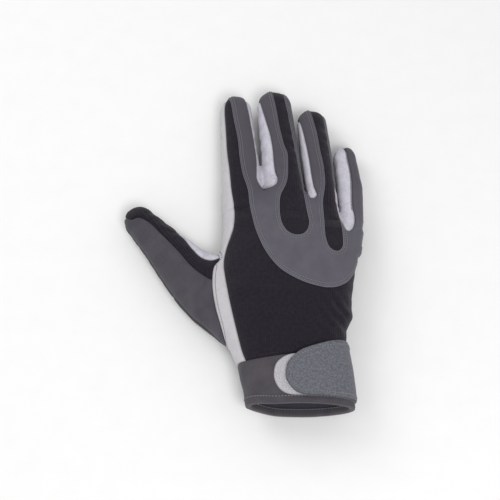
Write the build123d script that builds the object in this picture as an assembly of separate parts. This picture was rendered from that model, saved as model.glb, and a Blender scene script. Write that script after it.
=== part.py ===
from build123d import *
from functools import cache
import math
import os

# A right-hand full-finger sports glove, filled as it is on a hand and lying palm down.
# Millimetres. +X is the little-finger side, +Y the fingertips, +Z comes out of the back of
# the hand. The origin is the centre of the wrist opening.

# --- fabric -----------------------------------------------------------------------------
WALL = 1.5              # sewn shell: suede, knit or leather with its lining
SEAM = 0.16             # gap between two panels that are sewn edge to edge
CORNER = 0.86           # corner radius of a section, as a share of its half thickness
CORNER_FLATS = 4        # a section's round corner is made of this many flats
TIP_STEPS = (28.0, 52.0, 72.0)      # degrees round a fingertip at which it has a section
TOOL = 90.0             # how far a cutting prism reaches past the glove

# --- hand: y, thumb-side edge, little-finger-side edge, centre height, half thickness ----
HAND = [
    (0.0, -37.5, 36.8, 0.0, 18.6),
    (14.0, -39.6, 35.8, 0.0, 18.5),
    (28.0, -43.0, 34.0, 0.0, 18.1),
    (42.0, -48.4, 32.0, -0.3, 17.8),
    (56.0, -53.6, 32.2, -0.7, 18.2),
    (70.0, -57.6, 34.6, -1.2, 19.0),
    (84.0, -58.8, 37.2, -1.6, 19.4),
    (100.0, -57.6, 39.6, -2.2, 18.8),
    (116.0, -56.2, 42.8, -2.8, 17.6),
    (131.0, -55.2, 46.4, -3.5, 16.0),
]
# past the last knuckle the hand narrows to the web between the fingers
WEB = [HAND[-1], (136.5, -55.1, 29.0, -3.8, 15.2), (153.0, -54.6, 26.0, -4.6, 12.0),
       (161.0, -52.5, 23.0, -5.0, 8.0)]

# --- cuff -------------------------------------------------------------------------------
HEM = 4.0               # height of the bound edge
HEM_THICK = 0.9         # how far the binding stands out of the cuff, inside and outside
CUFF_HEIGHT = 36.4      # hem to the wrist seam, at the middle of the cuff
CUFF_TILT = 7.0         # degrees: the wrist seam climbs towards the little finger
LINING = 0.8            # thickness of the cuff's lining

# --- strap and its pads -------------------------------------------------------------------
STRAP_THICK = 1.8
STRAP_WIDTH = 39.0
STRAP_START = 4.5       # lower edge of the strap above the hem
STRAP_TIP = -10.5       # x of its rounded free end
STRAP_CORNER = 9.0
FOLD_ANGLE = 35.0       # where the strap peels: degrees up the round edge of the wrist
FOLD_SPARE = 0.5        # the peel line lies this far outside the strap
ANCHOR_LOW = -14.0      # the strap's sewn end runs down the edge of the wrist to here
ANCHOR_SEWN = 6.0
LOOP_TIP = -18.7
LOOP_THICK = 0.9
HOOK_THICK = 0.8
PAD_GAP = 0.35          # free air between the hook pad and the loop patch

# --- panels of the hand -------------------------------------------------------------------
PALM_SEAM_Z = -8.5      # height of the seam round the edge of the palm
PATCH_TOP_Z = -10.0     # the patch's blank reaches up to here before the palm is cut out of it
PATCH_FLAT_Z = -22.3    # planar underside of the palm patch: the face the glove rests on

# --- joints -------------------------------------------------------------------------------
JOINT_GAP = 0.5         # between two segments on the back, over the joint's axis
AXIS_RISE = 2.0         # the axis lies this far above the middle of a finger
KNUCKLE_FLEX = 60.0
MIDDLE_FLEX = 70.0
THUMB_FLEX = 40.0
NOTCH_SPARE = 1.5       # degrees that a notch opens wider than the joint bends

# --- side walls of the fingers --------------------------------------------------------------
WALL_BACK = -40.0       # s where the band that cuts them starts, inside the hand
WALL_TAPER = 0.72       # share of the finger's length at which a wall starts to narrow
WALL_END = 2.5          # the wall ends this far short of the fingertip
ROOT_REACH = 30.0       # a finger's hollow runs this far past its knuckle joint into the hand


def tube_section(half_width, half_thick, radius):
    """A rectangle whose corners are rounded in flats, so that the skin lofts into plain quads."""
    points = []
    for quarter, (side, rise) in enumerate(((1, 1), (-1, 1), (-1, -1), (1, -1))):
        for flat in range(CORNER_FLATS + 1):
            turn = math.radians(90.0 * (quarter + flat / CORNER_FLATS))
            points.append((side * (half_width - radius) + radius * math.cos(turn),
                           rise * (half_thick - radius) + radius * math.sin(turn)))
    return make_face(Polyline(*points, close=True))


class Stall:
    """One finger of the glove, in its own frame: s along it, u across it, v out of its back."""

    def __init__(self, name, root, yaw, droop, length, dome, sections, joints, flex, roll, walls):
        self.name = name
        self.root = Vector(*root)
        self.length = length
        self.dome = dome                # length of the rounded tip
        self.sections = sections        # (s, centre u, half width, half thickness)
        self.joints = joints            # s of the knuckle joint and of the middle joint
        self.flex = flex                # degrees that each joint bends
        self.roll = roll                # degrees that the side walls turn about the finger
        self.walls = walls              # lower and upper edge: of the left wall, of the right
        turn, dip = math.radians(yaw), math.radians(droop)
        self.along = Vector(-math.sin(turn) * math.cos(dip), math.cos(turn) * math.cos(dip),
                            -math.sin(dip))
        self.across = Vector(math.cos(turn), math.sin(turn), 0)
        self.up = self.across.cross(self.along)

    def at(self, s, u=0.0, v=0.0):
        return self.root + self.along * s + self.across * u + self.up * v

    def section(self, s, centre, half_width, half_thick):
        plane = Plane(self.at(s, centre), x_dir=self.across, z_dir=self.along)
        radius = CORNER * min(half_width, half_thick)
        return plane * tube_section(half_width, half_thick, radius)

    @cache
    def form(self, inset):
        """The finger as one solid, its skin moved in by inset: a tapered tube with a round tip."""
        rings = [self.section(s, centre, half_width - inset, half_thick - inset)
                 for s, centre, half_width, half_thick in self.sections]
        start, centre, half_width, half_thick = self.sections[-1]
        for turn in TIP_STEPS:
            reach = start + (self.dome - inset) * math.sin(math.radians(turn))
            size = math.cos(math.radians(turn))
            rings.append(self.section(reach, centre, (half_width - inset) * size,
                                      (half_thick - inset) * size))
        return loft(rings, ruled=True)

    def side_prism(self, *outline, roll=0.0, side=0):
        """A prism across the finger on an outline of s, v points, or its left (-1) or right half."""
        plane = Plane(self.root, x_dir=self.along, z_dir=self.across)
        face = plane * make_face(Polyline(*outline, close=True))
        if side:
            solid = extrude(face, TOOL / 2, dir=self.across * side)
        else:
            solid = extrude(face, TOOL / 2, both=True)
        return solid.rotate(Axis(self.root, self.along), roll)

    def top_prism(self, *outline):
        """A prism through the finger, top to bottom, whose outline is given as u, s points."""
        plane = Plane(self.root, x_dir=self.across, z_dir=self.up)
        return extrude(plane * make_face(Polyline(*outline, close=True)), TOOL / 2, both=True)

    def segment(self, first, last):
        """The slab between two joints, with half of the V notch that each joint needs."""
        low = -TOOL / 2
        depth = AXIS_RISE - low
        outline = []
        if first is None:
            outline += [(-TOOL, TOOL / 2), (-TOOL, low)]
        else:
            s = self.joints[first] + JOINT_GAP / 2
            lean = math.tan(math.radians(self.flex[first] / 2 + NOTCH_SPARE))
            outline += [(s, TOOL / 2), (s, AXIS_RISE), (s + depth * lean, low)]
        if last is None:
            outline += [(TOOL * 1.5, low), (TOOL * 1.5, TOOL / 2)]
        else:
            s = self.joints[last] - JOINT_GAP / 2
            lean = math.tan(math.radians(self.flex[last] / 2 + NOTCH_SPARE))
            outline += [(s - depth * lean, low), (s, AXIS_RISE), (s, TOOL / 2)]
        if first is not None and last is not None:
            # the two slopes cross below the finger, so the outline ends where they meet
            a, b = outline[1], outline[2]
            c, d = outline[4], outline[3]
            t = (c[0] - a[0]) / ((b[0] - a[0]) - (d[0] - c[0]))
            foot = (a[0] + (b[0] - a[0]) * t, a[1] + (b[1] - a[1]) * t)
            if foot[1] > low:
                outline = [outline[0], a, foot, c, outline[5]]
        return self.side_prism(*outline)

    def wall_band(self, grow=0.0):
        """The bands that hold the side walls: each narrows to a point at the fingertip."""
        start, taper = WALL_BACK, self.length * WALL_TAPER
        end = self.length - WALL_END + grow
        bands = [self.side_prism((start, high + grow), (taper, high + grow), (end, 0),
                                 (taper, low - grow), (start, low - grow),
                                 roll=self.roll, side=side)
                 for side, (low, high) in zip((-1, 1), self.walls)]
        return bands[0] + bands[1]

    def back_side(self):
        """Everything above the middle of the finger, turned with the walls."""
        return self.side_prism((-TOOL, SEAM / 2), (-TOOL, TOOL / 2), (2 * TOOL, TOOL / 2),
                               (2 * TOOL, SEAM / 2), roll=self.roll)

    def palm_side(self):
        return self.side_prism((-TOOL, -SEAM / 2), (-TOOL, -TOOL / 2), (2 * TOOL, -TOOL / 2),
                               (2 * TOOL, -SEAM / 2), roll=self.roll)


FINGERS = [
    Stall("index", (-41.0, 172.0, -5.0), 4.2, 4.4, 71.2, 11.4,
          [(-25.0, 0.0, 14.6, 11.3), (0.0, 0.0, 14.6, 11.3), (31.0, 0.0, 12.9, 10.6),
           (59.8, -0.3, 11.8, 9.5)],
          (4.5, 35.5), (KNUCKLE_FLEX, MIDDLE_FLEX), 0.0, ((-3.5, 7.9), (-3.5, 7.6))),
    Stall("middle", (-10.4, 170.0, -4.5), 5.4, 4.2, 77.4, 12.4,
          [(-25.0, 0.0, 14.4, 11.6), (0.0, 0.0, 14.4, 11.6), (33.0, 0.0, 14.0, 11.0),
           (65.0, -0.2, 12.9, 9.7)],
          (6.5, 40.5), (KNUCKLE_FLEX, MIDDLE_FLEX), 18.0, ((-3.5, 6.6), (-4.0, 3.5))),
    Stall("ring", (17.6, 163.0, -5.0), 6.2, 4.4, 68.6, 11.4,
          [(-25.0, -0.6, 10.4, 11.2), (0.0, -0.1, 11.0, 11.2), (31.0, 0.0, 11.5, 10.6),
           (57.2, 0.0, 11.1, 9.4)],
          (5.5, 35.5), (KNUCKLE_FLEX, MIDDLE_FLEX), 26.0, ((-3.5, 6.0), (-4.0, 4.0))),
    Stall("little", (39.0, 140.0, -7.0), 3.2, 4.4, 62.0, 10.0,
          [(-24.0, -5.5, 8.0, 9.6), (0.0, 0.0, 7.4, 9.6), (27.0, 0.0, 8.2, 9.2),
           (52.0, -0.8, 8.3, 8.1)],
          (4.5, 31.5), (KNUCKLE_FLEX, MIDDLE_FLEX), 34.0, ((-5.6, 6.4), (-3.5, 3.0))),
]
THUMB = Stall("thumb", (-75.0, 95.0, -7.5), 41.7, 3.0, 74.5, 14.0,
              [(-64.0, 0.0, 12.0, 11.5), (-45.0, 0.0, 20.5, 13.4), (-22.0, 0.0, 24.0, 14.0),
               (0.0, 0.0, 22.5, 14.0), (20.0, 0.0, 19.3, 13.0), (42.0, 0.0, 15.6, 11.4),
               (60.5, 0.0, 12.8, 10.0)],
              (17.0, 44.0), (THUMB_FLEX, MIDDLE_FLEX), 0.0, None)


# --- small helpers ------------------------------------------------------------------------

def hand_section(station, inset):
    y, left, right, middle, half_thick = station
    plane = Plane(((left + right) / 2, y, middle), x_dir=(1, 0, 0), z_dir=(0, 1, 0))
    return plane * tube_section((right - left) / 2 - inset, half_thick - inset,
                                CORNER * half_thick - inset)


@cache
def hand_form(inset, mouth=0.0):
    """Hand and cuff without fingers. A mouth above 0 runs the form out through the hem."""
    body = loft([hand_section(station, inset) for station in HAND], ruled=True)
    end, *rest = WEB[-1]
    web = WEB[:-1] + [(end - inset, *rest)]
    body += loft([hand_section(station, inset) for station in web], ruled=True)
    if mouth:
        body += extrude(hand_section(HAND[0], inset), -mouth, dir=(0, 1, 0))
    return body


def top_prism(points, grow=0.0, low=-TOOL, high=TOOL):
    """A vertical prism on an outline of X, Y points, grown all round."""
    face = make_face(Polyline(*points, close=True))
    if grow:
        face = offset(face, grow, kind=Kind.INTERSECTION)
    return extrude(Plane.XY.offset(low) * face, high - low)


def above(z):
    return Pos(0, 100, z + TOOL / 2) * Box(4 * TOOL, 5 * TOOL, TOOL)


def below(z):
    return Pos(0, 100, z - TOOL / 2) * Box(4 * TOOL, 5 * TOOL, TOOL)


def solids_of(shape, least=2.0):
    """The solids of a result, without crumbs under least cubic millimetres."""
    return [solid for solid in shape.solids() if solid.volume > least]


def write(name, *shapes):
    parts = [solid for shape in shapes for solid in solids_of(shape)]
    if not parts:
        raise ValueError(f"{name} is empty")
    export_step(Compound(children=parts), f"parts/{name}.step")
    print(f"{name}: {len(parts)} solids")


# --- outlines of the panels -----------------------------------------------------------------

# knit window on the back of a finger, as u, s points down one side and up the other,
# with the round end that it has on the hand: u, s, radius
KNIT_WINDOWS = {
    "middle": ([(-6.0, -36.0), (-3.4, -13.0), (3.1, 0.0), (4.6, 16.0), (1.5, 40.0), (-1.2, 95.0),
                (7.0, 95.0), (9.9, 40.0), (13.1, -5.0), (14.0, -36.0)], (4.0, -36.4, 10.0)),
    "ring": ([(-4.0, -45.0), (-1.8, -22.0), (2.6, 2.0), (3.0, 20.0), (1.9, 48.0), (-0.5, 90.0),
              (8.6, 90.0), (9.4, 36.0), (9.0, -10.0), (9.0, -45.0)], (2.5, -45.5, 6.5)),
}
# on the index finger the knit runs from the side wall to this line, as u, s points
INDEX_KNIT_EDGE = [(6.5, -25.0), (1.0, 0.0), (-0.6, 30.0), (-4.2, 95.0)]
THUMB_LEATHER_EDGE = 3.0        # the thumb's leather back ends at this u, its knit starts there

OVERLAY = [(-39.0, 190.0), (-36.5, 161.0), (-34.5, 146.0), (-31.4, 129.6), (-25.1, 113.2),
           (-15.3, 98.3), (-3.5, 90.0), (8.0, 85.0), (20.0, 83.4), (28.5, 85.8), (34.8, 91.0),
           (40.0, 99.0), (60.0, 112.0), (60.0, 190.0)]
STRIP_INNER = [(-46.5, 190.0), (-48.0, 160.0), (-46.6, 145.0), (-47.6, 130.0), (-51.4, 119.5),
               (-54.3, 109.5), (-52.2, 92.0), (-48.0, 66.0), (-42.4, 43.0), (-38.5, 28.0)]
STRIP_OUTER = [(-44.5, 28.0), (-52.0, 45.4), (-57.0, 61.0), (-61.2, 78.0), (-61.8, 90.0),
               (-60.4, 103.0), (-57.0, 112.0), (-75.0, 120.0), (-75.0, 190.0)]
THUMB_SIDE = [(-140.0, 20.0)] + STRIP_OUTER[:7] + [(-62.0, 150.0), (-140.0, 150.0)]
WEB_GUSSET = [(-86.0, 133.0), (-58.0, 112.5), (-63.0, 108.5), (-70.0, 110.5), (-77.0, 117.5)]
# light gussets between the roots of two fingers, each with a round end on the back of the hand
GUSSETS = [
    [(-30.3, 200.0), (-30.4, 180.0), (-29.0, 170.0), (-26.2, 166.6), (-23.3, 164.5),
     (-19.0, 164.5), (-15.8, 167.2), (-15.6, 171.0), (-18.3, 180.0), (-18.3, 200.0)],
    [(2.4, 200.0), (2.6, 172.0), (4.2, 164.0), (7.5, 157.0), (10.5, 154.5), (12.8, 156.5),
     (12.6, 164.0), (11.2, 172.0), (10.0, 200.0)],
    [(26.8, 200.0), (27.4, 170.0), (30.3, 145.0), (34.5, 129.5), (36.7, 128.8), (40.0, 134.0),
     (41.0, 141.0), (40.4, 150.0), (39.0, 200.0)],
]
PALM_PATCH = [(-34.0, 56.0), (22.0, 56.0), (30.0, 112.0), (-30.0, 122.0)]
PATCH_CORNER = 10.0
STRAP = [(STRAP_TIP, STRAP_START), (STRAP_TIP + 1.0, 31.0), (4.0, 38.5), (24.0, 45.0),
         (48.0, STRAP_START + STRAP_WIDTH + 3.0), (48.0, STRAP_START)]
LOOP = [(LOOP_TIP, 6.5), (LOOP_TIP + 0.5, 34.0), (14.0, 34.0), (14.0, 6.5)]
LOOP_CORNER = 9.0
HOOK = [(STRAP_TIP + 4.0, 9.5), (STRAP_TIP + 4.5, 28.0), (13.0, 32.0), (13.0, 9.5)]
HOOK_CORNER = 6.0


# --- sub-parts --------------------------------------------------------------------------------

def wrist_seam(shift=0.0):
    """Everything on the finger side of the seam between the cuff and the hand."""
    block = Pos(0, TOOL * 2, 0) * Box(4 * TOOL, 4 * TOOL, 2 * TOOL)
    return Pos(0, CUFF_HEIGHT + shift, 0) * block.rotate(Axis.Z, CUFF_TILT)


def rounded_prism(points, radius, count, low=-TOOL, high=TOOL):
    """A vertical prism on X, Y points whose first count corners are round."""
    face = make_face(Polyline(*points, close=True))
    corners = [face.vertices().sort_by_distance((x, y, 0))[0] for x, y in points[:count]]
    face = fillet(corners, radius)
    return extrude(Plane.XY.offset(low) * face, high - low)


def window(finger, grow=0.0):
    """The knit window of a finger: its long part and its round end on the hand."""
    outline, (u, s, radius) = KNIT_WINDOWS[finger.name]
    plane = Plane(finger.root, x_dir=finger.across, z_dir=finger.up)
    face = make_face(Polyline(*outline, close=True)) + Pos(u, s) * Circle(radius)
    if grow:
        face = offset(face, grow, kind=Kind.INTERSECTION)
    return extrude(plane * face, TOOL / 2, both=True)


def index_knit_side(finger, shift=0.0):
    """The thumb side of the line where the index finger's knit ends."""
    edge = [(u + shift, s) for u, s in INDEX_KNIT_EDGE]
    return finger.top_prism(*edge, (-TOOL / 2, edge[-1][1]), (-TOOL / 2, edge[0][1]))


def make_finger_segment(finger, part, first, last):
    """The panels of one rigid length of a finger, written as separate nodes."""
    skin = (finger.form(0) - finger.form(WALL)) & finger.segment(first, last)
    name = f"{finger.name}_{part}"
    write(f"{name}_side_walls", skin & finger.wall_band())
    rest = skin - finger.wall_band(SEAM)
    write(f"{name}_palm", rest & finger.palm_side())
    back = rest & finger.back_side()
    if finger.name == "index":
        write(f"{name}_back_knit", back & index_knit_side(finger, -SEAM))
        back -= index_knit_side(finger)
    elif finger.name in KNIT_WINDOWS:
        write(f"{name}_back_knit", back & window(finger))
        back -= window(finger, SEAM)
    write(f"{name}_overlay", back)


def thumb_top(shift=0.0):
    return THUMB.side_prism((-TOOL, PALM_SEAM_Z - THUMB.root.Z + shift), (-TOOL, TOOL / 2),
                            (2 * TOOL, TOOL / 2), (2 * TOOL, PALM_SEAM_Z - THUMB.root.Z + shift))


def thumb_leather_side(shift=0.0):
    edge = THUMB_LEATHER_EDGE + shift
    return THUMB.top_prism((edge, -TOOL), (-TOOL, -TOOL), (-TOOL, 2 * TOOL), (edge, 2 * TOOL))


def make_thumb_segment(part, first, last):
    skin = (THUMB.form(0) - THUMB.form(WALL)) & THUMB.segment(first, last)
    write(f"thumb_{part}_palm", skin - thumb_top(-SEAM))
    back = skin & thumb_top()
    write(f"thumb_{part}_leather", back & thumb_leather_side(-SEAM))
    write(f"thumb_{part}_knit", back - thumb_leather_side())


def make_hand_skin():
    """The shell of the hand and the cuff, with the stumps of the fingers and the thumb."""
    outer = hand_form(0)
    inner = hand_form(WALL, mouth=HEM)
    for stall in FINGERS + [THUMB]:
        outer += stall.form(0) & stall.segment(None, 0)
        through = stall.joints[0] + ROOT_REACH
        room = stall.side_prism((-TOOL, TOOL / 2), (-TOOL, -TOOL / 2), (through, -TOOL / 2),
                                (through, TOOL / 2))
        inner += stall.form(WALL) & room
    return outer - inner


def make_hand(skin):
    hand = skin & wrist_seam(SEAM)
    write("palm_panel", hand & below(PALM_SEAM_Z))
    back = hand & above(PALM_SEAM_Z + SEAM)

    write("crotch_gussets", *[back & top_prism(outline) for outline in GUSSETS])
    for outline in GUSSETS:
        back -= top_prism(outline, SEAM)

    thumb = back & top_prism(THUMB_SIDE)
    write("web_gusset", thumb & top_prism(WEB_GUSSET))
    thumb -= top_prism(WEB_GUSSET, SEAM)
    write("thumb_root_leather", thumb & thumb_leather_side(-SEAM))
    write("thumb_root_knit", thumb - thumb_leather_side())
    back -= top_prism(THUMB_SIDE, SEAM)

    strip = top_prism(STRIP_INNER + STRIP_OUTER)
    write("side_strip", back & strip)
    back -= top_prism(STRIP_INNER + STRIP_OUTER, SEAM)

    overlay = back & top_prism(OVERLAY)
    windows = [window(finger) for finger in FINGERS if finger.name in KNIT_WINDOWS]
    write("knuckle_knit_windows", *[overlay & hole for hole in windows])
    for finger in FINGERS:
        if finger.name in KNIT_WINDOWS:
            overlay -= window(finger, SEAM)
    write("knuckle_overlay", overlay)
    write("back_panel", back - top_prism(OVERLAY, SEAM))

    patch = rounded_prism(PALM_PATCH, PATCH_CORNER, 4, low=PATCH_FLAT_Z, high=PATCH_TOP_Z)
    write("palm_patch", patch - hand_form(-SEAM))


def make_cuff(skin):
    cuff = skin - wrist_seam()
    beyond_fold = Pos(0, HEM_THICK + SEAM + 2 * TOOL, 0) * Box(4 * TOOL, 4 * TOOL, 4 * TOOL)
    below_hem = Pos(0, HEM - TOOL, 0) * Box(4 * TOOL, 2 * TOOL, 4 * TOOL)
    cuff &= beyond_fold
    write("cuff_band", cuff - hand_form(WALL - LINING, mouth=HEM))
    write("cuff_lining", cuff & hand_form(WALL - LINING + SEAM, mouth=HEM))
    tape = hand_form(-HEM_THICK) - hand_form(WALL + HEM_THICK, mouth=HEM)
    fold = hand_form(-SEAM) - hand_form(WALL + SEAM, mouth=HEM)
    write("hem_binding", (tape & below_hem) - (fold & beyond_fold))


# heights of the strap's layers over the cuff
LOOP_TOP = SEAM + LOOP_THICK
HOOK_BOTTOM = LOOP_TOP + PAD_GAP
HOOK_TOP = HOOK_BOTTOM + HOOK_THICK
STRAP_BOTTOM = HOOK_TOP + SEAM
STRAP_TOP = STRAP_BOTTOM + STRAP_THICK


def cuff_layer(low, high):
    """A sheet that follows the outside of the cuff, between two heights over it."""
    return hand_form(-high) - hand_form(-low)


def strap_fold(y):
    """A point of the line, just outside the strap, that the strap peels about."""
    for first, second in zip(HAND, HAND[1:]):
        if first[0] <= y <= second[0]:
            share = (y - first[0]) / (second[0] - first[0])
            edge = first[2] + (second[2] - first[2]) * share
            middle = first[3] + (second[3] - first[3]) * share
            half_thick = first[4] + (second[4] - first[4]) * share
            corner = CORNER * half_thick
            reach = corner + STRAP_TOP + FOLD_SPARE
            turn = math.radians(FOLD_ANGLE)
            return Vector(edge - corner + reach * math.cos(turn), y,
                          middle + half_thick - corner + reach * math.sin(turn))
    raise ValueError("the fold lies off the cuff")


def beside_fold(side):
    """Everything on the free side (1) or the sewn side (-1) of the strap's fold."""
    low, high = strap_fold(STRAP_START), strap_fold(STRAP_START + STRAP_WIDTH)
    turn = math.radians(FOLD_ANGLE)
    along = (high - low).normalized()
    out = Vector(math.cos(turn), 0, math.sin(turn))
    facing = out.cross(along) * side
    plane = Plane((low + high) / 2 + facing * (JOINT_GAP / 2), x_dir=along, z_dir=facing)
    return extrude(plane * Rectangle(4 * TOOL, 4 * TOOL), 2 * TOOL)


def make_strap():
    over = above(0)
    loop = rounded_prism(LOOP, LOOP_CORNER, 2)
    write("loop_patch", cuff_layer(SEAM, LOOP_TOP) & loop & over)
    free = rounded_prism(STRAP, STRAP_CORNER, 2) & over & beside_fold(1)
    write("strap", cuff_layer(STRAP_BOTTOM, STRAP_TOP) & free)
    hook = rounded_prism(HOOK, HOOK_CORNER, 2)
    write("strap_hook_pad", cuff_layer(HOOK_BOTTOM, HOOK_TOP) & hook & over)
    low, high = STRAP_START, STRAP_START + STRAP_WIDTH
    width = top_prism([(0, low), (TOOL, low), (TOOL, high), (0, high)])
    root = width & beside_fold(-1) & above(ANCHOR_LOW)
    anchor = cuff_layer(STRAP_BOTTOM, STRAP_TOP) & root
    anchor += cuff_layer(SEAM, STRAP_TOP) & root & below(ANCHOR_LOW + ANCHOR_SEWN)
    write("strap_anchor", anchor)


def main():
    os.makedirs("parts", exist_ok=True)
    skin = make_hand_skin()
    make_hand(skin)
    make_cuff(skin)
    make_strap()
    for finger in FINGERS:
        make_finger_segment(finger, "base", 0, 1)
        make_finger_segment(finger, "tip", 1, None)
    make_thumb_segment("base", 0, 1)
    make_thumb_segment("tip", 1, None)


main()
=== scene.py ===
"""Looks of a right-hand full-finger sports glove. Shapes are worked out in millimetres and
written to Blender in metres. The skin is one smooth form; it is cut along the seams into
panels, and each finger's panels are cut across into a base part and a tip part."""

import math

import bpy
import numpy as np
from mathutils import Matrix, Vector
from mathutils.kdtree import KDTree


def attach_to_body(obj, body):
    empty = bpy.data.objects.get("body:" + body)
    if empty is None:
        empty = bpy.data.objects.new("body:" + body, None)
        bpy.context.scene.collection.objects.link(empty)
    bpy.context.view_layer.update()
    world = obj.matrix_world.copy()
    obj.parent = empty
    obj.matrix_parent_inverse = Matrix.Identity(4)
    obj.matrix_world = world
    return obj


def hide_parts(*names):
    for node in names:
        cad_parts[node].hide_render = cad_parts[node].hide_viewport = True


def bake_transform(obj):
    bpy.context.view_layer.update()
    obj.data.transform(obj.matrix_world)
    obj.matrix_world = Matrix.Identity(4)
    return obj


MM = 0.001
STEP = 1.15             # grid of the form, and so the size of its triangles

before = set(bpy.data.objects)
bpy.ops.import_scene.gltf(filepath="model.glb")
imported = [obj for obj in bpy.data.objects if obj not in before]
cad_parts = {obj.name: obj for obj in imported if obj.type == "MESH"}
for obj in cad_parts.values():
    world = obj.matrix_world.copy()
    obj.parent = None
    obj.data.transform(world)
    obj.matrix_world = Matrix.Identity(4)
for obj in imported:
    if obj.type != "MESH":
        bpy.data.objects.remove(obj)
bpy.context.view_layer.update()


# --- the form ---

def smooth(x, low, high):
    t = np.clip((x - low) / (high - low), 0, 1)
    return t * t * (3 - 2 * t)


def bell(distance, width):
    return np.exp(-(distance / width) ** 2)


def unit(v):
    return v / np.maximum(np.linalg.norm(v, axis=-1, keepdims=True), 1e-9)


def sides_of(t):
    """The three edges of each triangle, in their winding order."""
    return np.concatenate([t[:, [0, 1]], t[:, [1, 2]], t[:, [2, 0]]])


def smooth_min(a, b, reach):
    h = np.clip(0.5 + 0.5 * (b - a) / reach, 0, 1)
    return b * (1 - h) + a * h - reach * h * (1 - h)


# y, left edge, right edge, centre z, half thickness, squareness of the section
TRUNK = np.array([(-14, -36.5, 37.2, 0, 18, 1.9), (0, -37.5, 36.8, 0, 18.4, 1.95),
    (14, -39.6, 35.8, 0, 18.4, 2.2), (28, -43, 34.2, 0, 18.1, 2.4),
    (42, -48.4, 32, -0.3, 17.8, 2.5), (56, -53.6, 32.4, -0.7, 18.4, 2.5),
    (66, -57, 36, -1, 19, 2.5), (84, -60, 37.4, -1.6, 19.5, 2.5),
    (100, -57.8, 39.8, -2.2, 18.8, 2.5), (116, -56, 42.6, -2.8, 17.6, 2.5),
    (131, -55.2, 45.2, -3.5, 16, 2.5), (138, -55.1, 32, -3.8, 15, 2.5),
    (153, -54.6, 26, -4.6, 12, 2.5), (161, -52.5, 23, -5, 8, 2.5)])


def trunk_section(y):
    return [np.interp(y, TRUNK[:, 0], TRUNK[:, k]) for k in range(1, 6)]


def trunk_field(p):
    left, right, middle, half, power = trunk_section(p[:, 1])
    across = np.abs(p[:, 0] - (left + right) / 2) / ((right - left) / 2)
    ring = (across ** power + (np.abs(p[:, 2] - middle) / half) ** power) ** (1 / power)
    return np.maximum((ring - 1) * half, p[:, 1] - TRUNK[-1, 0])


class Stall:
    """A finger in its own frame: s along it, u across it, v out of its back.

    Sections hold s, centre u, half width and half thickness. Roll is that of the side walls,
    in degrees. Bends start and end at an s, at the knuckle and at the middle joint, and split
    is the s at which the panels are cut in two between them.
    """
    POWER = 2.4         # squareness of the section

    def __init__(self, name, root, yaw, droop, length, dome, back, sections, roll, bends, split,
                 join=3, tight=-2):
        self.name, self.root, self.length = name, np.array(root, float), length
        self.dome, self.back, self.join, self.tight = dome, back, join, tight
        self.sections = np.array(sections, float)
        self.roll, self.bends, self.split = math.radians(roll), bends, split
        turn, dip = math.radians(yaw), math.radians(droop)
        self.along = np.array([-math.sin(turn) * math.cos(dip), math.cos(turn) * math.cos(dip),
                               -math.sin(dip)])
        self.across = np.array([math.cos(turn), math.sin(turn), 0])
        self.up = np.cross(self.across, self.along)

    def local(self, p):
        d = p - self.root
        return d @ self.along, d @ self.across, d @ self.up

    def at(self, s, u=0, v=0):
        return self.root + self.along * s + self.across * u + self.up * v

    def xy(self, *points, lift=9):
        """Top-view points for s, u points that lie on the back of the finger."""
        return [tuple(self.at(s, u, lift)[:2]) for s, u in points]

    def section(self, s):
        """Centre, half width and half thickness at s."""
        return [np.interp(s, self.sections[:, 0], self.sections[:, k]) for k in (1, 2, 3)]

    def field(self, p):
        s, u, v = self.local(p)
        middle, wide, thick = self.section(s)
        u = u - middle
        q = np.maximum(0, (s - (self.length - self.dome)) / self.dome)
        ring = (np.abs(u) / wide) ** self.POWER + (np.abs(v) / thick) ** self.POWER
        f = (np.sqrt(ring ** (2 / self.POWER) + q * q) - 1) * thick
        return np.maximum(f, -(s + self.back))

    def rolled(self, u, v):
        """Height in the frame of the side walls, which are turned about the finger."""
        return v * math.cos(self.roll) + u * math.sin(self.roll)


INDEX = Stall("index", (-41, 172, -5), 4.2, 4.4, 71.2, 11.4, 25,
              [(-25, 0, 14.6, 11.3), (0, 0, 14.6, 11.3), (31, 0, 12.9, 10.6),
               (59.8, -0.3, 11.8, 9.5)],
              0, ((-3.5, 17.5), (24.5, 46.5)), 21)
MIDDLE = Stall("middle", (-10.4, 170, -4.5), 5.4, 4.2, 77.4, 12.4, 25,
               [(-25, 0, 14.4, 11.6), (0, 0, 14.4, 11.6), (33, 0, 14, 11), (65, -0.2, 12.9, 9.7)],
               18, ((-1.5, 19.5), (29.5, 51.5)), 24.5, tight=16)
RING = Stall("ring", (17.6, 163, -5), 6.2, 4.4, 68.6, 11.4, 25,
             [(-25, -0.6, 10.4, 11.2), (0, -0.1, 11, 11.2), (31, 0, 11.5, 10.6),
              (57.2, 0, 11.1, 9.4)],
             26, ((-2.5, 18.5), (24.5, 46.5)), 21.5)
LITTLE = Stall("little", (39, 140, -7), 3.2, 4.4, 62, 10, 24,
               [(-24, -5.3, 8.2, 9.6), (0, 0.6, 8.2, 9.6), (27, 1.2, 9.5, 9.2),
                (52, -0.6, 8.7, 8.1)],
               34, ((-3.5, 16.5), (22.5, 40.5)), 19.5, join=4.5)
THUMB = Stall("thumb", (-75, 95, -7.5), 41.7, 3, 74.5, 14, 66,
              [(-64, 2.6, 9.4, 11.5), (-45, 2.8, 17.7, 13.4), (-22, 2.2, 21.8, 14),
               (0, 1.6, 20.9, 14), (20, 1.4, 17.9, 13), (42, 1.4, 14.2, 11.4),
               (60.5, 1, 11.8, 10)],
              0, ((2, 28), (34, 54)), 31, join=7, tight=60)
FINGERS = [INDEX, MIDDLE, RING, LITTLE]
STALLS = FINGERS + [THUMB]


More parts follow.
